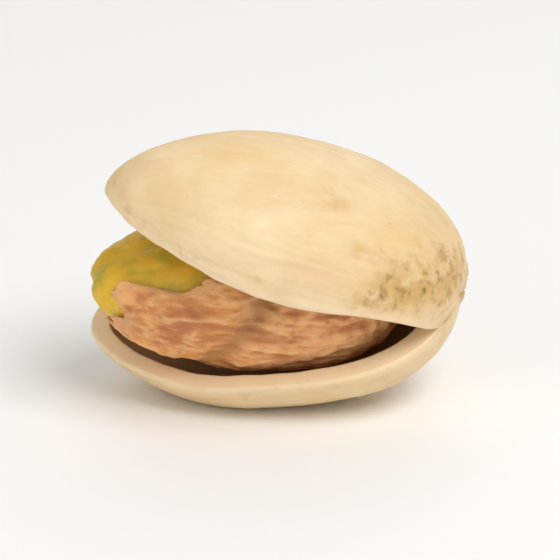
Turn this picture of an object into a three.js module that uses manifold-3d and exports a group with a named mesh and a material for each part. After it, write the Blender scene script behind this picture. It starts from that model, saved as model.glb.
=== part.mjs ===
// A pistachio lying in its split shell.
// The shell is one woody piece of two valves that stay joined round the stem end and gape at the apex.
// The seed lies loose in the lower valve, wrapped in a papery skin that is torn back from its tip.
// Millimetres and degrees. In the nut's own axes +X is the stem end, -X the apex, and the seam lies in XY.
import * as THREE from "three";
import { mergeGeometries, mergeVertices } from "three/addons/utils/BufferGeometryUtils.js";
import Module from "manifold-3d";

const wasm = await Module();
wasm.setup();

// Shell, measured as if it were still closed. Fullness, bluntness and taper are shares of its size,
// and its belly lies a little nearer the stem end than the middle.
const SHELL_LENGTH = 20.8;
const SHELL_WIDTH = 13.6;
const SHELL_DEPTH = 10.9;
const WALL = 1.15;
const STEM_FULLNESS = 0.16;
const STEM_BLUNTNESS = 0.26;
const BEAK_TAPER = 0.2;
const BELLY_FULLNESS = 0.95;
const BELLY_SHIFT = 1.1;
const LUMPINESS = 0.016;
const LUMP_SPAN = 15;
const LUMP_PHASES = new THREE.Vector3(1, -0.5, -0.5);
const SCAR_RADIUS = 1.25;
const SCAR_HEIGHT = 0.28;

// The split: how far the seam stays shut either side of the stem end, how wide the valves gape,
// and how far the upper valve's rim is drawn up along the front of the mouth.
const FRONT_SHUT = 29;
const BACK_SHUT = 62;
const GAPE = 34;
const RIM_ARCH = 0.1;
const ARCH_AT = 64;
const ARCH_SPREAD = 35;

// Seed: fuller at the stem end, with a slanting crease across its front and a shallow cleft at its tip.
const SEED_LENGTH = 17.5;
const SEED_WIDTH = 9.3;
const SEED_DEPTH = 8.3;
const SEED_STEM_FULLNESS = 0.11;
const SEED_END_TAPER = 0.06;
const SEED_LUMPINESS = 0.022;
const SEED_LUMP_SPAN = 10;
const CREASE_DEPTH = 0.3;
const CREASE_AT = -0.9;
const CREASE_LEAN = -0.6;
const CREASE_SPREAD = 1.1;
const CREASE_REACH = 0.35;
const CLEFT_DEPTH = 0.35;
const CLEFT_SPREAD = 0.55;
const SEED_PLACE = new THREE.Vector3(-1.4, -0.25, -0.88);
const SEED_TURN = new THREE.Euler(-0.02, 0.02, 0.05);

// Skin: its gap to the seed, its thickness, and the line on which it is torn, as an angle from the
// stem end of an axis that is tilted, so that the tip is bare above and behind. The line has notches,
// and one flap of skin is left on the front of the tip.
const SKIN_GAP = 0.14;
const SKIN = 0.3;
const TEAR = 121;
const TEAR_TILT = new THREE.Euler(0, 0.42, -0.21, "ZYX");
const NOTCHES = [
  { count: 1, depth: 8, phase: -5 },
  { count: 2, depth: 8, phase: -162 },
  { count: 7, depth: 2, phase: -64 },
];
const FLAP = { rise: 24, at: 1, half: 18 };

// How the nut lies: rolled on to its lower valve, with a small flat worn where it touches the ground.
const ROLL = 20;
const PITCH = 5;
const FLAT_DEPTH = 0.34;

// Facet counts, bisection steps and the distance under which corners are one.
const SHUT_COLUMNS = 16;
const OPEN_COLUMNS = 46;
const OUTER_ROWS = 12;
const INNER_ROWS = 9;
const SEED_COLUMNS = 36;
const SEED_ROWS = 32;
const SKIN_COLUMNS = 72;
const SKIN_ROWS = 20;
const HALVINGS = 50;
const WELD = 1e-4;

const radians = THREE.MathUtils.degToRad;

// The seam's outline at an angle counted from the stem end, positive on the back of the nut.
function outline(angle, inset) {
  const along = Math.cos(angle);
  const beak = Math.max(0, -along) ** 3;
  const girth = (1 + STEM_FULLNESS * along) * (1 - BEAK_TAPER * beak);
  return new THREE.Vector3(
    (SHELL_LENGTH / 2 - inset) * along,
    (SHELL_WIDTH / 2 - inset) * Math.sin(angle) * girth,
    0,
  );
}

// The line the valves turn about runs between the two ends of the split.
const hingeStart = outline(-radians(FRONT_SHUT), 0);
const hingeAxis = outline(radians(BACK_SHUT), 0).sub(hingeStart).normalize();
const towardsApex = new THREE.Vector3(-hingeAxis.y, hingeAxis.x, 0);

// The angle, between the stem end and stop, at which the outline of a wall surface meets that line.
function splitEnd(inset, stop) {
  let shut = 0;
  let open = stop;
  for (let step = 0; step < HALVINGS; step += 1) {
    const half = (shut + open) / 2;
    if (outline(half, inset).sub(hingeStart).dot(towardsApex) > 0) {
      open = half;
    } else {
      shut = half;
    }
  }
  return shut;
}

// A point of a valve wall, turned open; fall runs from 0 at the belly to 1 at the seam.
function turnedWall(side, angle, fall, inset) {
  const lean = (fall * Math.PI) / 2;
  const drop = Math.sin(lean);
  const rise = Math.max(0, Math.cos(lean)) ** BELLY_FULLNESS;
  const stem = Math.max(0, Math.cos(angle)) ** 2;
  const blunted = 1 + STEM_BLUNTNESS * stem * drop * (1 - drop ** 2);
  const point = outline(angle, inset).multiplyScalar(drop * blunted);
  point.x += BELLY_SHIFT * rise ** 2;
  point.z = side * (SHELL_DEPTH / 2 - inset) * rise;
  const turn = side * radians(GAPE / 2);
  return point.sub(hingeStart).applyAxisAngle(hingeAxis, turn).add(hingeStart);
}

// How far down a wall goes: to the seam plane where the nut is shut, to its own rim where it is split.
function fallToEdge(side, angle, inset) {
  let low = 0;
  let high = 1;
  if (side * turnedWall(side, angle, 1, inset).z >= 0) {
    const off = (angle + radians(ARCH_AT) - 2 * Math.PI) / radians(ARCH_SPREAD);
    return side > 0 ? 1 - RIM_ARCH * Math.max(0, 1 - off * off) ** 2 : 1;
  }
  for (let step = 0; step < HALVINGS; step += 1) {
    const half = (low + high) / 2;
    if (side * turnedWall(side, angle, half, inset).z > 0) {
      low = half;
    } else {
      high = half;
    }
  }
  return low;
}

// Slow lumps of a grown thing, as a factor on its girth.
function unevenness(point, amount, span) {
  const turn = (2 * Math.PI) / span;
  const along = Math.sin(turn * point.x + LUMP_PHASES.x) * Math.cos(turn * point.y + LUMP_PHASES.y);
  const slanting = Math.sin(turn * (point.z + point.x / 2) + LUMP_PHASES.z);
  return 1 + amount * (along + slanting);
}

// Columns are spaced so that one falls exactly on each end of the split, outside and inside.
function columnAngle(column, inset) {
  const front = splitEnd(inset, -Math.PI / 2);
  const back = splitEnd(inset, Math.PI / 2);
  if (column <= SHUT_COLUMNS) {
    return front + ((back - front) * column) / SHUT_COLUMNS;
  }
  const share = (column - SHUT_COLUMNS) / OPEN_COLUMNS;
  return back + (2 * Math.PI + front - back) * share;
}

// A place on a wall by column and by share of the way to its edge, with the stem scar and the lumps.
function wallPoint(side, column, share, inset) {
  const angle = columnAngle(column, inset);
  const point = turnedWall(side, angle, share * fallToEdge(side, angle, inset), inset);
  if (share === 1 && column <= SHUT_COLUMNS) {
    point.z = 0;
  }
  if (inset === 0 && point.x > 0) {
    const off = Math.hypot(point.y, point.z) / SCAR_RADIUS;
    point.x += SCAR_HEIGHT * Math.exp(-(off ** 4));
  }
  const girth = unevenness(point, LUMPINESS, LUMP_SPAN);
  point.y *= girth;
  point.z *= girth;
  return point;
}

// One valve: a turned bowl drawn out to the nut's shape, without the rim where the seam is still shut.
function valve(side) {
  const rows = [];
  for (let row = 0; row <= OUTER_ROWS; row += 1) {
    rows.push({ share: row / OUTER_ROWS, inset: 0 });
  }
  for (let row = INNER_ROWS; row >= 0; row -= 1) {
    rows.push({ share: row / INNER_ROWS, inset: WALL });
  }
  const profile = rows.map(({ share, inset }) => {
    const lean = (share * Math.PI) / 2;
    const radius = SHELL_WIDTH / 2 - inset;
    return new THREE.Vector2(radius * Math.sin(lean), radius * Math.cos(lean));
  });
  const columns = SHUT_COLUMNS + OPEN_COLUMNS;
  const bowl = new THREE.LatheGeometry(profile, columns);
  const places = bowl.getAttribute("position");
  for (let n = 0; n < places.count; n += 1) {
    const { share, inset } = rows[n % rows.length];
    const column = Math.floor(n / rows.length) % columns;
    const point = wallPoint(side, column, share, inset);
    places.setXYZ(n, point.x, point.y, point.z);
  }
  const kept = [];
  const corners = bowl.getIndex();
  for (let n = 0; n < corners.count; n += 3) {
    const face = [corners.getX(n), corners.getX(n + 1), corners.getX(n + 2)];
    const column = Math.floor(Math.min(...face) / rows.length);
    const onRim = face.every((corner) => {
      const row = corner % rows.length;
      return row === OUTER_ROWS || row === OUTER_ROWS + 1;
    });
    if (!onRim || column >= SHUT_COLUMNS) {
      kept.push(...(side > 0 ? face.reverse() : face));
    }
  }
  bowl.setIndex(kept);
  return bare(bowl);
}

function bare(geometry) {
  geometry.deleteAttribute("normal");
  geometry.deleteAttribute("uv");
  return geometry;
}

function toSolid(geometry) {
  const welded = mergeVertices(bare(geometry), WELD);
  return new wasm.Manifold(new wasm.Mesh({
    numProp: 3,
    vertProperties: welded.getAttribute("position").array,
    triVerts: Uint32Array.from(welded.getIndex().array),
  }));
}

function toGeometry(solid) {
  const mesh = solid.getMesh();
  const geometry = new THREE.BufferGeometry();
  geometry.setAttribute("position", new THREE.BufferAttribute(mesh.vertProperties, 3));
  geometry.setIndex(new THREE.BufferAttribute(mesh.triVerts, 1));
  geometry.computeVertexNormals();
  return geometry;
}

// The seed's surface in a direction from its middle, grown outwards by a given amount.
function seedPoint(way, grow) {
  const girth = 1 + SEED_STEM_FULLNESS * way.x - SEED_END_TAPER * way.x ** 2;
  const point = new THREE.Vector3(
    (SEED_LENGTH / 2) * way.x,
    (SEED_WIDTH / 2) * way.y * girth,
    (SEED_DEPTH / 2) * way.z * girth,
  );
  const lumps = unevenness(point, SEED_LUMPINESS, SEED_LUMP_SPAN);
  const across = (point.x - CREASE_AT + CREASE_LEAN * point.z) / CREASE_SPREAD;
  const crease = Math.exp(-(across ** 2)) * Math.max(0, CREASE_REACH - way.y);
  const cleft = Math.exp(-((point.y / CLEFT_SPREAD) ** 2)) * Math.max(0, -way.x) ** 2;
  const normal = new THREE.Vector3(
    way.x / SEED_LENGTH,
    way.y / SEED_WIDTH,
    way.z / SEED_DEPTH,
  ).normalize();
  point.y *= lumps;
  point.z *= lumps;
  return point.addScaledVector(normal, grow - CREASE_DEPTH * crease - CLEFT_DEPTH * cleft);
}

// The seed: a ball drawn out along X.
function seed() {
  const ball = new THREE.SphereGeometry(1, SEED_COLUMNS, SEED_ROWS);
  ball.rotateZ(-Math.PI / 2);
  const places = ball.getAttribute("position");
  for (let n = 0; n < places.count; n += 1) {
    const way = new THREE.Vector3().fromBufferAttribute(places, n);
    const point = seedPoint(way, 0);
    places.setXYZ(n, point.x, point.y, point.z);
  }
  return toGeometry(toSolid(ball));
}

// The angle at which the skin is torn, by the turn round its tilted axis from the front.
function tearAt(about) {
  const off = Math.acos(Math.cos(about - radians(FLAP.at))) / radians(FLAP.half);
  let angle = TEAR + FLAP.rise * Math.exp(-(off ** 4));
  for (const { count, depth, phase } of NOTCHES) {
    angle += depth * Math.sin(count * about + radians(phase));
  }
  return radians(angle);
}

// The skin: a thin cup over the seed's stem end with a ragged, slanting mouth near its tip.
function skin() {
  const rows = [];
  for (let row = 0; row <= SKIN_ROWS; row += 1) {
    rows.push({ share: row / SKIN_ROWS, grow: SKIN_GAP + SKIN });
  }
  for (let row = SKIN_ROWS; row >= 0; row -= 1) {
    rows.push({ share: row / SKIN_ROWS, grow: SKIN_GAP });
  }
  const profile = rows.map(({ share, grow }) => {
    const polar = share * radians(TEAR);
    const radius = SEED_WIDTH / 2 + grow;
    return new THREE.Vector2(radius * Math.sin(polar), radius * Math.cos(polar));
  });
  const cup = new THREE.LatheGeometry(profile, SKIN_COLUMNS);
  const places = cup.getAttribute("position");
  for (let n = 0; n < places.count; n += 1) {
    const { share, grow } = rows[n % rows.length];
    const about = (Math.floor(n / rows.length) * Math.PI * 2) / SKIN_COLUMNS;
    const polar = share * tearAt(about);
    const way = new THREE.Vector3(
      Math.cos(polar),
      -Math.sin(polar) * Math.cos(about),
      Math.sin(polar) * Math.sin(about),
    ).applyEuler(TEAR_TILT);
    const point = seedPoint(way, grow);
    places.setXYZ(n, point.x, point.y, point.z);
  }
  return toGeometry(toSolid(cup));
}

function material(colour, roughness) {
  return new THREE.MeshStandardMaterial({ color: colour, roughness, metalness: 0 });
}

const nut = new THREE.Group();
nut.name = "nut";
nut.rotation.set(radians(ROLL), radians(PITCH), 0, "ZYX");
nut.updateMatrixWorld(true);

// The flat under the shell is cut level with the ground as the nut lies.
const splitShell = mergeGeometries([valve(1), valve(-1)]);
const whole = splitShell.clone().applyMatrix4(nut.matrixWorld);
whole.computeBoundingBox();
const lowest = whole.boundingBox.min.z;
const ground = new THREE.BoxGeometry(4 * SHELL_LENGTH, 4 * SHELL_LENGTH, SHELL_LENGTH);
ground.translate(0, 0, lowest + FLAT_DEPTH - SHELL_LENGTH / 2);
ground.applyMatrix4(nut.matrixWorld.clone().invert());
const shellSolid = toSolid(splitShell).subtract(toSolid(ground));

const shell = new THREE.Mesh(toGeometry(shellSolid), material(0xead8ae, 0.6));
shell.name = "shell";
nut.add(shell);

const kernel = new THREE.Mesh(seed(), material(0xb9a53a, 0.5));
kernel.name = "kernel";
const seedSkin = new THREE.Mesh(skin(), material(0xa8653f, 0.55));
seedSkin.name = "seed_skin";
for (const piece of [kernel, seedSkin]) {
  piece.position.copy(SEED_PLACE);
  piece.rotation.copy(SEED_TURN);
  nut.add(piece);
}

// The origin is on the ground under the middle of the nut.
const part = new THREE.Group();
part.name = "pistachio_in_shell";
part.add(nut);
const box = new THREE.Box3().setFromObject(part, true);
const middle = box.getCenter(new THREE.Vector3());
nut.position.set(-middle.x, -middle.y, -box.min.z);

export default part;
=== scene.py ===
import math

import bpy
import numpy as np
from mathutils import Euler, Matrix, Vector, noise


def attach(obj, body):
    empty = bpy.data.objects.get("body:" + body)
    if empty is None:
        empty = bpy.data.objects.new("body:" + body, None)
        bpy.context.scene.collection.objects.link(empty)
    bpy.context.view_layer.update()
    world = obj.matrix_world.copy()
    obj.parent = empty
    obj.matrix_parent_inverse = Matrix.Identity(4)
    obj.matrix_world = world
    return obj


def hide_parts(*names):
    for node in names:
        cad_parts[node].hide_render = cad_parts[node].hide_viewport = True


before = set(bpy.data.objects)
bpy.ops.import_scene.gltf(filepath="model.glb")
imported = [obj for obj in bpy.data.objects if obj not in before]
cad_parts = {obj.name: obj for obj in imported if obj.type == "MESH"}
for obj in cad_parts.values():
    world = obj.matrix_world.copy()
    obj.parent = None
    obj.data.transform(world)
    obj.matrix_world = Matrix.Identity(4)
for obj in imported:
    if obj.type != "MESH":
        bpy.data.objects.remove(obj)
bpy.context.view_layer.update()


# The shell: one woody piece, cream outside, of two valves that stay joined round the stem end. It
# split along its seam as it ripened, gapes at the apex and lies on a small flat of its lower valve.
# Sizes are in millimetres in the nut's own axes: +X the stem end, -X the apex, the seam in XY.
shell_length = 20.8
shell_width = 13.6
shell_depth = 10.9
wall_thickness = 1.15
stem_fullness = 0.16
stem_bluntness = 0.26
beak_taper = 0.2
belly_fullness = 0.95
belly_shift = 1.1
shell_lumpiness = 0.016
lump_span = 15
scar_radius = 1.25
scar_height = 0.28
front_shut = math.radians(29)
back_shut = math.radians(62)
half_gape = math.radians(34 / 2)
rim_arch = 0.1
arch_at = math.radians(64)
arch_spread = math.radians(35)
rim_rounding = 0.24
wall_run = 10
# The width of the band along the outside of the rim that gets a painted highlight.
rim_highlight_width = 0.6
rim_waver = 0.007
waver_level = 1.5
waver_waves = ((1.3, 4, 2), (0.6, 11, 1), (0.4, 29, 0))  # height, number round the rim, shift
nut_roll = math.radians(20)
nut_pitch = math.radians(5)
flat_depth = 0.34
metres = 0.001


def seam_outline(angle, inset):
    """The seam's outline at an angle from the stem end, positive on the back of the nut."""
    along = np.cos(angle)
    beak = np.clip(-along, 0, 1) ** 3
    girth = (1 + stem_fullness * along) * (1 - beak_taper * beak)
    across = (shell_width / 2 - inset) * np.sin(angle) * girth
    return np.stack([(shell_length / 2 - inset) * along, across, 0 * along], -1)


hinge_start = seam_outline(np.float64(-front_shut), 0)
hinge_axis = seam_outline(np.float64(back_shut), 0) - hinge_start
hinge_axis = hinge_axis / np.linalg.norm(hinge_axis)
towards_apex = np.array([-hinge_axis[1], hinge_axis[0], 0])
halvings = 50


def split_end(inset, stop):
    """The angle, from the stem end to stop, at which a wall's outline meets the hinge line."""
    shut, open_ = 0.0, stop
    for _ in range(halvings):
        half = np.float64((shut + open_) / 2)
        if (seam_outline(half, inset) - hinge_start) @ towards_apex > 0:
            open_ = half
        else:
            shut = half
    return shut


def shut_wall(side, angle, fall, inset):
    """A point of a wall before the nut splits; fall runs from 0 at the belly to 1 at the seam."""
    lean = fall * math.pi / 2
    drop = np.sin(lean)
    rise = np.clip(np.cos(lean), 0, 1) ** belly_fullness
    blunted = 1 + stem_bluntness * np.clip(np.cos(angle), 0, 1) ** 2 * drop * (1 - drop**2)
    point = seam_outline(angle, inset) * (drop * blunted)[..., None]
    point[..., 0] += belly_shift * rise**2
    point[..., 2] = side * (shell_depth / 2 - inset) * rise
    return point


def turned_open(side, point):
    """Turns a point of one valve about the hinge line by half the gape."""
    arm = point - hinge_start
    turn = side * half_gape
    along = (arm @ hinge_axis)[..., None] * hinge_axis
    swung = arm * math.cos(turn) + np.cross(hinge_axis, arm) * math.sin(turn)
    return hinge_start + swung + along * (1 - math.cos(turn))


def fall_to_edge(side, angle, inset):
    """How far down a wall goes: to the seam plane where shut, to its own rim where split."""
    low = np.zeros_like(angle)
    high = np.ones_like(angle)
    for _ in range(halvings):
        half = (low + high) / 2
        above = side * turned_open(side, shut_wall(side, angle, half, inset))[..., 2] > 0
        low = np.where(above, half, low)
        high = np.where(above, high, half)
    arch = np.clip(1 - ((angle + arch_at - 2 * math.pi) / arch_spread) ** 2, 0, 1) ** 2
    waver = waver_level
    for height, count, shift in waver_waves:
        waver = waver + height * np.sin(count * angle + shift * side)
    mouth = np.clip((1 - np.cos(angle)) * 2 - 1, 0, 1)
    drawn_up = rim_arch * arch * (side > 0) + rim_waver * np.maximum(waver, 0) * mouth
    return np.where(high >= 1, 1 - drawn_up, low)


def unevenness(point, amount, span):
    """Slow lumps of a grown thing, as a factor on its girth."""
    x, y, z = np.moveaxis(point * 2 * math.pi / span, -1, 0)
    return 1 + amount * (np.sin(x + 1) * np.cos(y - 0.5) + np.sin(z + x / 2 - 0.5))


shut_columns = 76
open_columns = 220
tip_columns = 12
outer_rows = 84
rim_rows = 9
inner_rows = 42
columns = shut_columns + open_columns


def column_angles(inset):
    """One column falls exactly on each end of the split, outside and inside."""
    front = split_end(inset, -math.pi / 2)
    back = split_end(inset, math.pi / 2)
    shut = np.linspace(front, back, shut_columns, endpoint=False)
    split = np.linspace(back, 2 * math.pi + front, open_columns, endpoint=False)
    return np.concatenate([shut, split])


def wall_surface(side, share, inset):
    """Shut and opened places of a wall; share is a column by row array, 1 at the edge."""
    angle = np.repeat(column_angles(inset)[:, None], share.shape[1], 1)
    fall = share * fall_to_edge(side, angle[:, :1], inset)
    shut = shut_wall(side, angle, fall, inset)
    point = turned_open(side, shut)
    at_seam = (share == 1) & (np.arange(columns)[:, None] <= shut_columns)
    point[..., 2] = np.where(at_seam, 0, point[..., 2])
    if inset == 0:
        off = np.hypot(point[..., 1], point[..., 2]) / scar_radius
        point[..., 0] += scar_height * np.exp(-(off**4)) * (point[..., 0] > 0)
    girth = unevenness(point, shell_lumpiness, lump_span)
    point[..., 1:] *= girth[..., None]
    return shut, point


def bent(start, corner, end, bend):
    """A point part of the way from start to end, round a corner that is rounded off."""
    return (1 - bend) ** 2 * start + 2 * bend * (1 - bend) * corner + bend**2 * end


def valve(side):
    """Rows of a valve from the belly outside, round the rim, to the belly inside."""
    column = np.arange(columns)
    from_tip = np.minimum(column - shut_columns, columns - column)
    split = np.clip(from_tip / tip_columns, 0, 1)
    rounding = rim_rounding * split
    kept = (1 - rounding / wall_run)[:, None]
    outer_shut, outer = wall_surface(side, kept * np.linspace(0, 1, outer_rows), 0)
    inner_shut, inner = wall_surface(side, kept * np.linspace(1, 0, inner_rows), wall_thickness)
    lip_shut, lip = wall_surface(side, np.ones((columns, 1)), 0)
    _, hem = wall_surface(side, np.ones((columns, 1)), wall_thickness)
    across = hem - lip
    step = across / np.linalg.norm(across, axis=2)[..., None] * rounding[:, None, None]
    rim = []
    for bend in np.linspace(0, 1, rim_rows // 2 + 2)[1:]:
        rim.append(bent(outer[:, -1:], lip, lip + step, bend))
    for bend in np.linspace(0, 1, rim_rows // 2 + 2)[:-1]:
        rim.append(bent(hem - step, hem, inner[:, :1], bend))
    rim = np.concatenate(rim, 1)
    point = np.concatenate([outer, rim, inner], 1)
    shut = np.concatenate([outer_shut, np.repeat(lip_shut, rim.shape[1], 1), inner_shut], 1)
    round_rim = np.linspace(0, 1, rim.shape[1])
    inside = np.concatenate([np.zeros(outer_rows), round_rim, np.ones(inner_rows)])
    # A band along the outside of the rim, for a painted highlight there.
    rim_highlight_band = split[:, None] * np.exp(-((np.linalg.norm(point - lip, axis=2) / rim_highlight_width) ** 2))
    return point, shut, np.repeat(inside[None], columns, 0), rim_highlight_band


def ring_faces(ring_columns, rows, first, flipped):
    """Quads between neighbouring columns of a closed grid, counted from its first vertex."""
    column, row = np.meshgrid(np.arange(ring_columns), np.arange(rows - 1), indexing="ij")
    here = first + column * rows + row
    there = first + (column + 1) % ring_columns * rows + row
    quads = np.stack([here, here + 1, there + 1, there], -1)
    return quads[..., ::-1] if flipped else quads


weld_distance = 1e-5


def welded(point, quads):
    """First vertex of each place, and the faces on those vertices that did not close up."""
    spots = np.round(point / weld_distance).astype(np.int64)
    _, first, back = np.unique(spots, axis=0, return_index=True, return_inverse=True)
    corners = [list(dict.fromkeys(face)) for face in back.reshape(-1)[quads].tolist()]
    return first, [face for face in corners if len(face) > 2]


upper, upper_shut, upper_inside, upper_rim_highlight = valve(1)
lower, lower_shut, lower_inside, lower_rim_highlight = valve(-1)
valve_rows = upper.shape[1]
edge = slice(outer_rows - 1, valve_rows - inner_rows + 1)
lower[: shut_columns + 1, edge] = upper[: shut_columns + 1, edge]
row = np.arange(valve_rows - 1)
on_rim = (row >= outer_rows - 1) & (row < valve_rows - inner_rows)
shut_rim = on_rim[None] & (np.arange(columns) < shut_columns)[:, None]
faces = []
for side, first in ((1, 0), (-1, columns * valve_rows)):
    quads = ring_faces(columns, valve_rows, first, side < 0)
    faces.append(quads[~shut_rim])
shell_points = np.concatenate([upper.reshape(-1, 3), lower.reshape(-1, 3)])
shell_shut = np.concatenate([upper_shut.reshape(-1, 3), lower_shut.reshape(-1, 3)])
shell_inside = np.concatenate([upper_inside.reshape(-1), lower_inside.reshape(-1)])
rim_highlight = np.concatenate([upper_rim_highlight.reshape(-1), lower_rim_highlight.reshape(-1)])
kept, shell_faces = welded(shell_points, np.concatenate(faces))
shell_points, shell_shut = shell_points[kept], shell_shut[kept]
shell_inside, rim_highlight = shell_inside[kept], rim_highlight[kept]

lie = np.array(Euler((nut_roll, nut_pitch, 0), "XYZ").to_matrix())
lying = shell_points @ lie.T
low, high = lying.min(0), lying.max(0)
set_down = np.array([-(low[0] + high[0]) / 2, -(low[1] + high[1]) / 2, -low[2] - flat_depth])


def grown(point, size, octaves, shift):
    """Cloudy noise about 0 at each point; the size of its features may differ along each axis."""
    places = point / np.asarray(size) + shift
    return np.array([noise.fractal(Vector(p), 1.0, 2.0, octaves) for p in places])


def new_piece(name, point, faces):
    """A smooth mesh object from millimetre points in the ground's axes."""
    mesh = bpy.data.meshes.new(name)
    mesh.from_pydata((point * metres).tolist(), [], faces)
    mesh.update()
    mesh.shade_smooth()
    piece = bpy.data.objects.new(name, mesh)
    bpy.context.scene.collection.objects.link(piece)
    return piece


def swell(piece, amount):
    """Moves each vertex along its normal by an amount in millimetres."""
    mesh = piece.data
    normals = np.empty(len(mesh.vertices) * 3)
    places = np.empty(len(mesh.vertices) * 3)
    mesh.vertex_normals.foreach_get("vector", normals)
    mesh.vertices.foreach_get("co", places)
    places = places.reshape(-1, 3) + normals.reshape(-1, 3) * amount[:, None] * metres
    mesh.vertices.foreach_set("co", places.reshape(-1))
    mesh.update()


def note(piece, name, values):
    """Keeps one number a vertex for the material to read."""
    numbers = piece.data.attributes.new(name, "FLOAT", "POINT")
    numbers.data.foreach_set("value", values.astype(np.float32))


# The stain beside the front end of the split and the smudges of the upper valve: place and spread.
stain_start = np.array([5.0, -6.0, 3.9])
stain_end = np.array([9.9, -2.7, 2.9])
stain_spread = 1.3
stain_wander = 0.6
stain_fray = 0.5
smudges = (((2.6, -1.7, 7.1), 1.0), ((4.0, -4.3, 5.6), 0.9), ((7.4, -2.6, 4.8), 0.8))
stem_stain_reach = 4.0
seam_stain_reach = 1.3

# The relief: dents, pits and veins, the groove of the shut seam, and the stem scar.
rim_fade = 3
dent_span = 2.6
dent_height = 0.06
lining_dent_height = 0.02
pit_span = 0.75
pit_height = 0.014
vein_span = 0.42
vein_stretch = 9
vein_crowding = 4.2
vein_depth = 0.07
groove_width = 0.15
groove_depth = 0.13
groove_fade = 3
fibre_count = 11
fibre_wander = 5
fibre_height = 0.03
scar_roughness = 0.05
scar_ring_at = 0.85
scar_ring_width = 0.22
scar_ring_height = 0.04
scar_pit_radius = 0.5
scar_pit_depth = 0.25

shell = new_piece("shell_look", lying + set_down, shell_faces)
outside = np.clip(1 - shell_inside * rim_fade, 0, 1)
about = np.arctan2(shell_shut[:, 2], shell_shut[:, 1])
around = np.stack([np.cos(about), np.sin(about)], -1) * vein_crowding
along = shell_shut[:, :1] / vein_stretch
veins = np.abs(grown(np.hstack([along, around]), vein_span, octaves=3, shift=4.0))
dents = grown(shell_points, dent_span, octaves=2, shift=11.0)
pits = grown(shell_points, pit_span, octaves=3, shift=23.0)
shut_side = np.clip(-(shell_points - hinge_start) @ towards_apex * groove_fade, 0, 1)
seam_line = np.exp(-((shell_points[:, 2] / groove_width) ** 2)) * shut_side
stain_run = stain_end - stain_start
stain_share = np.clip((shell_points - stain_start) @ stain_run / (stain_run @ stain_run), 0, 1)
from_stain = shell_points - stain_start - stain_share[:, None] * stain_run
from_stain = np.linalg.norm(from_stain, axis=1)
ragged = np.maximum(from_stain + stain_wander * dents + stain_fray * pits, 0)
smudge = np.zeros(len(shell_points))
for place, spread in smudges:
    smudge += np.exp(-((np.linalg.norm(shell_points - place, axis=1) / spread) ** 2))
from_stem = np.linalg.norm(shell_points - [shell_length / 2, 0, 0], axis=1)
scar = outside * np.exp(-((from_stem / scar_radius) ** 6))
scar_pit = outside * np.exp(-((from_stem / scar_pit_radius) ** 2))
scar_ring = np.exp(-(((from_stem - scar_ring_at * scar_radius) / scar_ring_width) ** 2))
round_scar = np.arctan2(shell_points[:, 2], shell_points[:, 1])
scar_fibres = np.sin(fibre_count * round_scar + fibre_wander * pits)
scar_relief = fibre_height * scar_fibres + scar_roughness * pits + scar_ring_height * scar_ring
relief = dent_height * dents + pit_height * pits - vein_depth * veins
relief = outside * (relief - groove_depth * seam_line * (1 - scar))
relief += scar * scar_relief - scar_pit_depth * scar_pit
relief += (1 - outside) * lining_dent_height * dents
swell(shell, relief)

# No part of it goes below the ground.
resting = np.empty(len(shell.data.vertices) * 3)
shell.data.vertices.foreach_get("co", resting)
resting[2::3] = np.maximum(resting[2::3], 0)
shell.data.vertices.foreach_set("co", resting)
shell.data.update()
note(shell, "inside", shell_inside)
# The next value marks the band along the outside of the rim for a painted highlight.
note(shell, "rim", outside * rim_highlight)
note(shell, "stem", np.exp(-((from_stem / stem_stain_reach) ** 2)))
note(shell, "seam", np.exp(-((shell_shut[:, 2] / seam_stain_reach) ** 2)))
note(shell, "veins", veins)
note(shell, "groove", outside * seam_line)
note(shell, "scar", scar)
note(shell, "scar_pit", scar_pit)
note(shell, "crack", outside * np.exp(-((ragged / stain_spread) ** 2)))
note(shell, "smudge", outside * smudge)
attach(shell, "root")
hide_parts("shell")


def add_node(tree, kind, links=(), **settings):
    """A node with its settings, and with its inputs linked or set by name or number."""
    made = tree.nodes.new("ShaderNode" + kind)
    for name, value in settings.items():
        setattr(made, name, value)
    for name, value in dict(links).items():
        if isinstance(value, bpy.types.NodeSocket):
            tree.links.new(value, made.inputs[name])
        else:
            made.inputs[name].default_value = value
    return made


def new_group(name, inputs, outputs):
    """An empty shader group with inputs of a kind and a usual value each, and float outputs."""
    tree = bpy.data.node_groups.new(name, "ShaderNodeTree")
    for label, (kind, usual) in inputs.items():
        socket = tree.interface.new_socket(label, in_out="INPUT", socket_type="NodeSocket" + kind)
        socket.default_value = usual
    for label in outputs:
        tree.interface.new_socket(label, in_out="OUTPUT", socket_type="NodeSocketFloat")
    given = tree.nodes.new("NodeGroupInput").outputs
    wanted = tree.nodes.new("NodeGroupOutput").inputs
    return tree, given, wanted


def drawn_out(tree, stretch):
    """Places on the piece, drawn out along each axis."""
    place = add_node(tree, "TexCoord").outputs["Object"]
    return add_node(tree, "VectorMath", {0: place, 1: stretch}, operation="MULTIPLY").outputs[0]


# Soft-edged patches of any size, drawn out along any axis: stains, tints and streaks.
patches, given, wanted = new_group(
    "soft patches",
    {
        "Stretch": ("Vector", (1, 1, 1)),
        "Size": ("Float", 300),
        "Start": ("Float", 0.45),
        "Full": ("Float", 0.65),
    },
    ["Mask"],
)
drawn = drawn_out(patches, given["Stretch"])
cloud = add_node(
    patches,
    "TexNoise",
    {"Vector": drawn, "Scale": given["Size"], "Detail": 4.0, "Roughness": 0.55},
)
ramp = add_node(
    patches,
    "MapRange",
    {"Value": cloud.outputs["Fac"], "From Min": given["Start"], "From Max": given["Full"]},
    interpolation_type="SMOOTHSTEP",
)
patches.links.new(ramp.outputs["Result"], wanted["Mask"])

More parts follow.
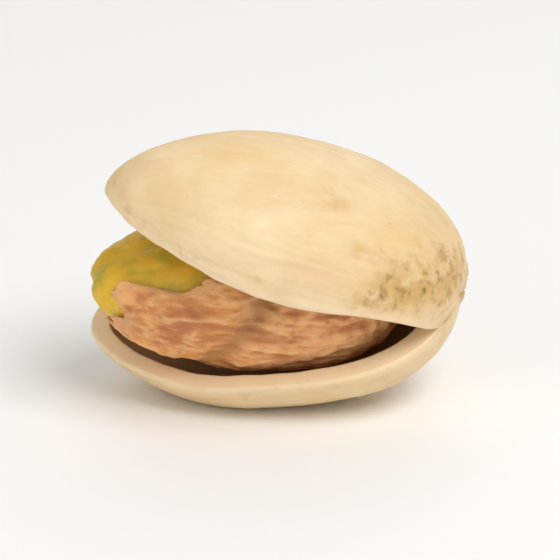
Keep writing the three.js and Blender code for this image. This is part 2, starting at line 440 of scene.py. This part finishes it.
# Fine grain for bumps: a cloudy part and a pitted part.
grain, given, wanted = new_group(
    "fine grain",
    {"Stretch": ("Vector", (1, 1, 1)), "Size": ("Float", 2500), "Pits": ("Float", 0.4)},
    ["Height"],
)
drawn = drawn_out(grain, given["Stretch"])
cloud = add_node(
    grain,
    "TexNoise",
    {"Vector": drawn, "Scale": given["Size"], "Detail": 5.0, "Roughness": 0.6},
)
cells = add_node(
    grain, "TexVoronoi", {"Vector": drawn, "Scale": given["Size"]}, feature="SMOOTH_F1"
)
dug = add_node(
    grain, "Math", {0: cells.outputs["Distance"], 1: given["Pits"]}, operation="MULTIPLY"
)
height = add_node(grain, "Math", {0: cloud.outputs["Fac"], 1: dug.outputs[0]}, operation="ADD")
grain.links.new(height.outputs[0], wanted["Height"])


def new_material(name):
    """A material with an empty tree, its shader and its output."""
    made = bpy.data.materials.new(name)
    made.use_nodes = True
    made.node_tree.nodes.clear()
    shader = add_node(made.node_tree, "BsdfPrincipled")
    out = add_node(made.node_tree, "OutputMaterial")
    made.node_tree.links.new(shader.outputs["BSDF"], out.inputs["Surface"])
    return made, made.node_tree, shader


def masked(tree, group, output, **inputs):
    """One output of a shared group with its own values."""
    made = tree.nodes.new("ShaderNodeGroup")
    made.node_tree = group
    for name, value in inputs.items():
        made.inputs[name].default_value = value
    return made.outputs[output]


def patchy(tree, **inputs):
    """A mask of soft patches with its own values."""
    return masked(tree, patches, "Mask", **inputs)


def tinted(tree, under, tint, mask):
    """A colour laid over another where a mask says."""
    mix = add_node(tree, "Mix", data_type="RGBA")
    tree.links.new(mask, mix.inputs["Factor"])
    for socket, colour in ((mix.inputs[6], under), (mix.inputs[7], tint)):
        if isinstance(colour, bpy.types.NodeSocket):
            tree.links.new(colour, socket)
        else:
            socket.default_value = (*colour, 1)
    return mix.outputs[2]


def times(tree, first, second):
    """The product of two masks, or of a mask and a number."""
    made = add_node(tree, "Math", {0: first, 1: second}, operation="MULTIPLY", use_clamp=True)
    return made.outputs[0]


def kept_value(tree, name):
    """The number a vertex that the mesh keeps under a name."""
    return add_node(tree, "Attribute", attribute_name=name).outputs["Fac"]


def ranged(tree, value, start, full):
    """A mask that grows from 0 to 1 as a value goes from start to full."""
    made = add_node(tree, "MapRange", {"Value": value, "From Min": start, "From Max": full})
    return made.outputs["Result"]


def set_gloss(tree, shader, mask, glossy, dull):
    """Roughness between two values, as a mask says."""
    between = add_node(tree, "MapRange", {"Value": mask, "To Min": glossy, "To Max": dull})
    tree.links.new(between.outputs["Result"], shader.inputs["Roughness"])


def set_bump(tree, shader, height, strength, depth):
    """Grain too fine for the mesh, with its depth in metres."""
    bump = add_node(tree, "Bump", {"Height": height, "Strength": strength, "Distance": depth})
    tree.links.new(bump.outputs["Normal"], shader.inputs["Normal"])


shell_cream = (0.81, 0.595, 0.32)
shell_ivory = (0.87, 0.68, 0.41)
shell_straw = (0.78, 0.55, 0.24)
shell_gold = (0.62, 0.375, 0.12)
shell_blush = (0.76, 0.52, 0.31)
shell_stain = (0.43, 0.245, 0.08)
scar_brown = (0.16, 0.085, 0.035)
shell_lining_and_shade = (0.54, 0.355, 0.185)
rim_cream_and_highlight = (0.96, 0.745, 0.475)

shell_finish, tree, shader = new_material("pistachio shell")
ivory = patchy(tree, Size=170, Start=0.4, Full=0.66)
colour = tinted(tree, shell_cream, shell_ivory, ivory)
straw = patchy(tree, Size=260, Start=0.5, Full=0.74, Stretch=(0.6, 1, 1.2))
colour = tinted(tree, colour, shell_straw, times(tree, straw, 0.8))
blush = patchy(tree, Size=210, Start=0.52, Full=0.75, Stretch=(1, 1.3, 0.8))
colour = tinted(tree, colour, shell_blush, times(tree, blush, 0.7))
streaks = patchy(tree, Size=900, Start=0.5, Full=0.8, Stretch=(0.12, 1, 1))
colour = tinted(tree, colour, shell_blush, times(tree, streaks, 0.35))
vein_lines = ranged(tree, kept_value(tree, "veins"), start=0.07, full=0.0)
colour = tinted(tree, colour, shell_blush, times(tree, vein_lines, 0.3))
stem_stain = patchy(tree, Size=800, Start=0.5, Full=0.68)
stem_stain = times(tree, stem_stain, kept_value(tree, "stem"))
colour = tinted(tree, colour, shell_stain, times(tree, stem_stain, 0.75))
seam_stain = patchy(tree, Size=1300, Start=0.58, Full=0.7)
seam_stain = times(tree, seam_stain, kept_value(tree, "seam"))
colour = tinted(tree, colour, shell_stain, times(tree, seam_stain, 0.4))
crack = kept_value(tree, "crack")
washed = times(tree, patchy(tree, Size=650, Start=0.26, Full=0.54), crack)
colour = tinted(tree, colour, shell_gold, times(tree, washed, 0.9))
mottles = times(tree, patchy(tree, Size=1600, Start=0.45, Full=0.66), crack)
colour = tinted(tree, colour, shell_stain, times(tree, mottles, 0.85))
dots = times(tree, patchy(tree, Size=3000, Start=0.54, Full=0.66), mottles)
colour = tinted(tree, colour, scar_brown, times(tree, dots, 0.6))
smudged = patchy(tree, Size=900, Start=0.38, Full=0.66)
smudged = times(tree, smudged, kept_value(tree, "smudge"))
colour = tinted(tree, colour, shell_gold, times(tree, smudged, 0.6))
colour = tinted(tree, colour, shell_stain, times(tree, kept_value(tree, "groove"), 0.6))
scar_tint = patchy(tree, Size=1500, Start=0.2, Full=0.6)
scar_tint = times(tree, scar_tint, kept_value(tree, "scar"))
colour = tinted(tree, colour, shell_stain, times(tree, scar_tint, 0.7))
colour = tinted(tree, colour, scar_brown, times(tree, kept_value(tree, "scar_pit"), 0.85))
specks = patchy(tree, Size=2100, Start=0.68, Full=0.75)
colour = tinted(tree, colour, shell_stain, times(tree, specks, 0.35))
# Painted highlight: a lighter cream band along the outside of the rim.
colour = tinted(tree, colour, rim_cream_and_highlight, times(tree, kept_value(tree, "rim"), 0.75))
inside = kept_value(tree, "inside")
rim_near = ranged(tree, inside, start=0.0, full=0.3)
colour = tinted(tree, colour, rim_cream_and_highlight, times(tree, rim_near, 0.8))
# Inside: the lining's own tan-brown, made darker as painted shade for the hollow of the shell.
shaded_lining = ranged(tree, inside, start=0.75, full=1.0)
colour = tinted(tree, colour, shell_lining_and_shade, shaded_lining)
tree.links.new(colour, shader.inputs["Base Color"])
polish = patchy(tree, Size=600, Start=0.3, Full=0.7)
set_gloss(tree, shader, polish, glossy=0.46, dull=0.64)
shader.inputs["Subsurface Weight"].default_value = 0.12
shader.inputs["Subsurface Radius"].default_value = (1.0, 0.6, 0.3)
shader.inputs["Subsurface Scale"].default_value = 0.0008
fine = masked(tree, grain, "Height", Size=3200, Pits=0.5)
set_bump(tree, shader, fine, strength=0.22, depth=0.00006)
shell.data.materials.append(shell_finish)


# The kernel: the seed, a firm oily flesh that grew in the shell and lies loose in its lower valve,
# with its tip towards the mouth. It is bare only at the tip, where it shows yellow-green.
seed_length = 17.5
seed_width = 9.3
seed_depth = 8.3
seed_stem_fullness = 0.11
seed_end_taper = 0.06
seed_lumpiness = 0.022
seed_lump_span = 10
crease_depth = 0.3
crease_at = -0.9
crease_lean = -0.6
crease_spread = 1.1
crease_reach = 0.35
cleft_depth = 0.35
cleft_spread = 0.55
wrinkle_span = (1.9, 0.8, 0.8)
wrinkle_height = 0.09
crinkle_span = 0.4
crinkle_height = 0.03
seed_place = np.array([-1.4, -0.25, -0.88])
seed_turn = np.array(Euler((-0.02, 0.02, 0.05), "ZYX").to_matrix())


def seed_point(way, grow):
    """The seed's surface in a direction from its middle, grown by an amount, and its normal."""
    girth = 1 + seed_stem_fullness * way[..., 0] - seed_end_taper * way[..., 0] ** 2
    half = np.array([seed_length, seed_width, seed_depth]) / 2
    point = half * way
    point[..., 1:] *= girth[..., None]
    bulge = unevenness(point, seed_lumpiness, seed_lump_span)
    across = point[..., 0] - crease_at + crease_lean * point[..., 2]
    front = np.clip(crease_reach - way[..., 1], 0, 2)
    crease = np.exp(-((across / crease_spread) ** 2)) * front
    cleft = np.exp(-((point[..., 1] / cleft_spread) ** 2)) * np.clip(-way[..., 0], 0, 1) ** 2
    normal = way / half
    normal = normal / np.linalg.norm(normal, axis=-1)[..., None]
    point[..., 1:] *= bulge[..., None]
    out = grow - crease_depth * crease - cleft_depth * cleft
    return point + normal * out[..., None], normal


def in_the_shell(point):
    """From the seed's own axes to the ground's."""
    return (point @ seed_turn.T + seed_place) @ lie.T + set_down


def way_at(polar, turn):
    """A direction by its angle from the stem end and its turn from the front, upwards."""
    off = np.sin(polar)
    return np.stack([np.cos(polar), -off * np.cos(turn), off * np.sin(turn)], -1)


kernel_columns = 150
kernel_rows = 130
turn = np.arange(kernel_columns) * 2 * math.pi / kernel_columns
polar, turn = np.broadcast_arrays(np.linspace(0, math.pi, kernel_rows)[None], turn[:, None])
kernel_way = way_at(polar, turn)
kernel_points, kernel_normal = seed_point(kernel_way, np.zeros(polar.shape))
flat_points = kernel_points.reshape(-1, 3)
wrinkle = wrinkle_height * grown(flat_points, wrinkle_span, octaves=3, shift=31.0)
wrinkle = wrinkle + crinkle_height * grown(flat_points, crinkle_span, octaves=3, shift=37.0)
kernel_points = flat_points + kernel_normal.reshape(-1, 3) * wrinkle[:, None]
kernel_quads = ring_faces(kernel_columns, kernel_rows, 0, True).reshape(-1, 4)
kept, kernel_faces = welded(kernel_points, kernel_quads)
kernel = new_piece("kernel_look", in_the_shell(kernel_points[kept]), kernel_faces)
note(kernel, "folds", wrinkle[kept])
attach(kernel, "root")
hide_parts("kernel")

kernel_yellow = (0.84, 0.5, 0.015)
kernel_green_and_shade = (0.48, 0.41, 0.03)
kernel_amber = (0.8, 0.37, 0.015)
kernel_pale = (0.88, 0.63, 0.1)
kernel_rust = (0.45, 0.21, 0.05)

kernel_finish, tree, shader = new_material("pistachio kernel")
green = patchy(tree, Size=330, Start=0.52, Full=0.72)
colour = tinted(tree, kernel_yellow, kernel_green_and_shade, green)
amber = patchy(tree, Size=410, Start=0.52, Full=0.68, Stretch=(0.7, 1.2, 1))
colour = tinted(tree, colour, kernel_amber, times(tree, amber, 0.6))
pale = patchy(tree, Size=520, Start=0.54, Full=0.74)
colour = tinted(tree, colour, kernel_pale, pale)
# Painted shade: darker green in the hollows of the wrinkles.
shaded_hollows = ranged(tree, kept_value(tree, "folds"), start=0.0, full=-0.06)
colour = tinted(tree, colour, kernel_green_and_shade, times(tree, shaded_hollows, 0.45))
rust = patchy(tree, Size=900, Start=0.6, Full=0.72)
colour = tinted(tree, colour, kernel_rust, times(tree, rust, 0.6))
tree.links.new(colour, shader.inputs["Base Color"])
oily = patchy(tree, Size=800, Start=0.34, Full=0.66)
set_gloss(tree, shader, oily, glossy=0.38, dull=0.58)
shader.inputs["Subsurface Weight"].default_value = 0.15
shader.inputs["Subsurface Radius"].default_value = (1.0, 0.9, 0.3)
shader.inputs["Subsurface Scale"].default_value = 0.0008
fine = masked(tree, grain, "Height", Size=2600, Pits=0.3, Stretch=(0.5, 1, 1))
set_bump(tree, shader, fine, strength=0.3, depth=0.0001)
kernel.data.materials.append(kernel_finish)


# The seed skin: a dry, papery, reddish-brown coat that clings to the seed in lengthwise wrinkles.
# It dried on the seed and tore back from the tip when the nut opened, on a ragged slanting line.
skin_thickness = 0.3
skin_gap = 0.14
torn_edge = 0.1
torn_lift = 0.1
edge_from = 0.86
edge_clearance = 0.05
edge_flattening = 0.7
tear_at = 121
tear_tilt = np.array(Euler((0, 0.42, -0.21), "XYZ").to_matrix())
tear_notches = ((8, 1, 5), (8, 2, 162), (2, 7, 64))  # depth, number round the edge, shift
nibble_span = 0.3
nibble_depth = 5
fray_span = 0.09
fray_depth = 2.2
flap_rise = 24
flap_at = math.radians(1)
flap_half = math.radians(18)
ridge_span = (3.4, 1.1, 1.1)
ridge_height = 0.16
ridge_level = 0.6
crumple_span = (0.8, 0.55, 0.55)
crumple_height = 0.07
fold_depth = 0.24
crease_shade = 0.8
stemward_run = 1.6
skin_columns = 420
skin_rows = 150
lining_rows = 50

turn = (np.arange(skin_columns) * 2 * math.pi / skin_columns)[:, None]
from_flap = np.arccos(np.cos(turn - flap_at)) / flap_half
notches = 0
for depth, count, shift in tear_notches:
    notches = notches + depth * np.sin(count * turn - math.radians(shift))
round_edge = np.concatenate([np.cos(turn), np.sin(turn), 0 * turn], 1)
nibbled = nibble_depth * grown(round_edge, nibble_span, octaves=4, shift=71.0)
frayed = fray_depth * grown(round_edge, fray_span, octaves=3, shift=83.0)
ragged = (nibbled + frayed)[:, None]
mouth = np.radians(tear_at + flap_rise * np.exp(-(from_flap**4)) + notches + ragged)


def skin_sheet(share, grow):
    """Rows of the skin from the stem end to the torn edge, at a given height over the seed."""
    polar = mouth * share
    return seed_point(way_at(polar, turn) @ tear_tilt.T, np.broadcast_to(grow, polar.shape))


outer_share = np.linspace(0, 1, skin_rows)[None]
towards_edge = np.clip((outer_share - edge_from) / (1 - edge_from), 0, 1) ** 2
edge_lift = torn_lift * (1 + np.sin(7 * turn) * np.cos(3 * turn + 1))
edge_height = (torn_edge + edge_clearance + edge_lift) * towards_edge
outer_height = (skin_gap + skin_thickness) * (1 - towards_edge) + edge_height
skin_outer, skin_normal = skin_sheet(outer_share, outer_height)
lining_share = np.linspace(1, 0, lining_rows)[None]
lining_edge = np.clip((lining_share - edge_from) / (1 - edge_from), 0, 1) ** 2
lining_height = skin_gap * (1 - lining_edge) + (edge_clearance + edge_lift) * lining_edge
skin_inner, _ = skin_sheet(lining_share, lining_height)

flat_points = skin_outer.reshape(-1, 3)
ridges = 1 - 2 * np.abs(grown(flat_points, ridge_span, octaves=3, shift=53.0))
crumple = grown(flat_points, crumple_span, octaves=3, shift=61.0)
fold = ridge_height * (ridges - ridge_level) + crumple_height * crumple
fold = np.maximum(fold, -fold_depth).reshape(skin_columns, skin_rows)
fold *= 1 - edge_flattening * towards_edge
skin_outer = skin_outer + skin_normal * fold[..., None]
skin_points = np.concatenate([skin_outer, skin_inner], 1).reshape(-1, 3)
no_folds = np.zeros((skin_columns, lining_rows))
skin_folds = np.concatenate([fold, no_folds], 1).reshape(-1)
outer_edge = np.repeat(towards_edge, skin_columns, 0)
skin_edge = np.concatenate([outer_edge, np.ones((skin_columns, lining_rows))], 1).reshape(-1)
skin_quads = ring_faces(skin_columns, skin_rows + lining_rows, 0, True).reshape(-1, 4)
kept, skin_faces = welded(skin_points, skin_quads)
seed_skin = new_piece("seed_skin_look", in_the_shell(skin_points[kept]), skin_faces)
across = skin_points[:, 0] - crease_at + crease_lean * skin_points[:, 2]
# A band along the crease, for painted shade there.
crease_shade_band = np.exp(-((across / crease_shade) ** 2)) * (skin_points[:, 1] < 0)
note(seed_skin, "crease", crease_shade_band[kept])
note(seed_skin, "stemward", np.clip(across / stemward_run, 0, 1)[kept])
note(seed_skin, "folds", skin_folds[kept])
note(seed_skin, "torn", skin_edge[kept])
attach(seed_skin, "root")
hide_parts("seed_skin")

skin_tan = (0.87, 0.39, 0.12)
skin_peach_and_light = (0.95, 0.5, 0.22)
skin_red_and_shade = (0.54, 0.185, 0.06)
crease_shade_umber = (0.34, 0.15, 0.045)
skin_plum = (0.4, 0.14, 0.1)
skin_pale_and_highlight = (0.95, 0.6, 0.28)

skin_finish, tree, shader = new_material("pistachio seed skin")
reddened = patchy(tree, Size=420, Start=0.44, Full=0.68, Stretch=(0.5, 1, 1))
colour = tinted(tree, skin_tan, skin_red_and_shade, reddened)
plum = patchy(tree, Size=260, Start=0.57, Full=0.75)
colour = tinted(tree, colour, skin_plum, times(tree, plum, 0.5))
# Peachier and lighter towards the stem end: partly the skin's own tone, partly painted light.
colour = tinted(tree, colour, skin_peach_and_light, times(tree, kept_value(tree, "stemward"), 0.65))
folds = kept_value(tree, "folds")
# Painted highlight: paler on the crests of the folds.
crest_highlight = ranged(tree, folds, start=0.0, full=0.09)
colour = tinted(tree, colour, skin_pale_and_highlight, times(tree, crest_highlight, 0.55))
# Painted shade: redder and darker in the hollows between the folds.
valley_shade = ranged(tree, folds, start=-0.02, full=-0.14)
colour = tinted(tree, colour, skin_red_and_shade, times(tree, valley_shade, 0.8))
# Painted shade: darker umber along the crease.
colour = tinted(tree, colour, crease_shade_umber, times(tree, kept_value(tree, "crease"), 0.65))
flecks = patchy(tree, Size=1500, Start=0.56, Full=0.7, Stretch=(0.4, 1, 1))
colour = tinted(tree, colour, skin_pale_and_highlight, times(tree, flecks, 0.5))
freckles = patchy(tree, Size=2400, Start=0.5, Full=0.68, Stretch=(0.7, 1, 1))
colour = tinted(tree, colour, skin_red_and_shade, times(tree, freckles, 0.45))
colour = tinted(tree, colour, skin_pale_and_highlight, times(tree, kept_value(tree, "torn"), 0.5))
tree.links.new(colour, shader.inputs["Base Color"])
papery = patchy(tree, Size=1100, Start=0.34, Full=0.66, Stretch=(0.5, 1, 1))
set_gloss(tree, shader, papery, glossy=0.42, dull=0.64)
shader.inputs["Subsurface Weight"].default_value = 0.08
shader.inputs["Subsurface Radius"].default_value = (1.0, 0.4, 0.2)
shader.inputs["Subsurface Scale"].default_value = 0.0005
fine = masked(tree, grain, "Height", Size=2200, Pits=0.5, Stretch=(0.5, 1, 1))
set_bump(tree, shader, fine, strength=0.4, depth=0.00012)
seed_skin.data.materials.append(skin_finish)


# The studio: a plain white table, soft light from above and from the sides, and a long lens.
# It is there for the render alone and is no part of the nut.
floor_side = 2.0
floor_white = (0.93, 0.93, 0.925, 1)
half_side = floor_side / 2
mesh = bpy.data.meshes.new("floor")
corners = [(x * half_side, y * half_side, 0) for x, y in ((-1, -1), (1, -1), (1, 1), (-1, 1))]
mesh.from_pydata(corners, [], [(0, 1, 2, 3)])
floor = bpy.data.objects.new("floor", mesh)
bpy.context.scene.collection.objects.link(floor)
floor_finish, tree, shader = new_material("white table")
shader.inputs["Base Color"].default_value = floor_white
shader.inputs["Roughness"].default_value = 0.8
floor.data.materials.append(floor_finish)

sky_white = (1.0, 0.99, 0.97, 1)
sky_strength = 0.45
world = bpy.data.worlds.new("studio")
world.use_nodes = True
sky = world.node_tree.nodes["Background"]
sky.inputs["Color"].default_value = sky_white
sky.inputs["Strength"].default_value = sky_strength
bpy.context.scene.world = world
bpy.context.scene.view_settings.view_transform = "Standard"

aim = Vector((0, 0, 0.0068))
# Each lamp's place and size in metres, and its power in watts.
lamps = {
    "key": ((0.15, -0.17, 0.33), 0.22, 0.98),
    "fill": ((-0.3, -0.22, 0.2), 0.3, 0.22),
    "back": ((0.02, 0.3, 0.22), 0.3, 0.2),
}
for name, (place, size, power) in lamps.items():
    light = bpy.data.lights.new(name, "AREA")
    light.size = size
    light.energy = power
    lamp = bpy.data.objects.new(name, light)
    lamp.location = place
    lamp.rotation_euler = (aim - Vector(place)).to_track_quat("-Z", "Y").to_euler()
    bpy.context.scene.collection.objects.link(lamp)

camera_azimuth = math.radians(-5)
camera_elevation = math.radians(22)
camera_distance = 0.172
focal_length = 200
lens = bpy.data.cameras.new("camera")
lens.lens = focal_length
camera = bpy.data.objects.new("camera", lens)
level = camera_distance * math.cos(camera_elevation)
camera.location = aim + Vector((
    level * math.sin(camera_azimuth),
    -level * math.cos(camera_azimuth),
    camera_distance * math.sin(camera_elevation),
))
camera.rotation_euler = (aim - camera.location).to_track_quat("-Z", "Y").to_euler()
bpy.context.scene.collection.objects.link(camera)
bpy.context.scene.camera = camera
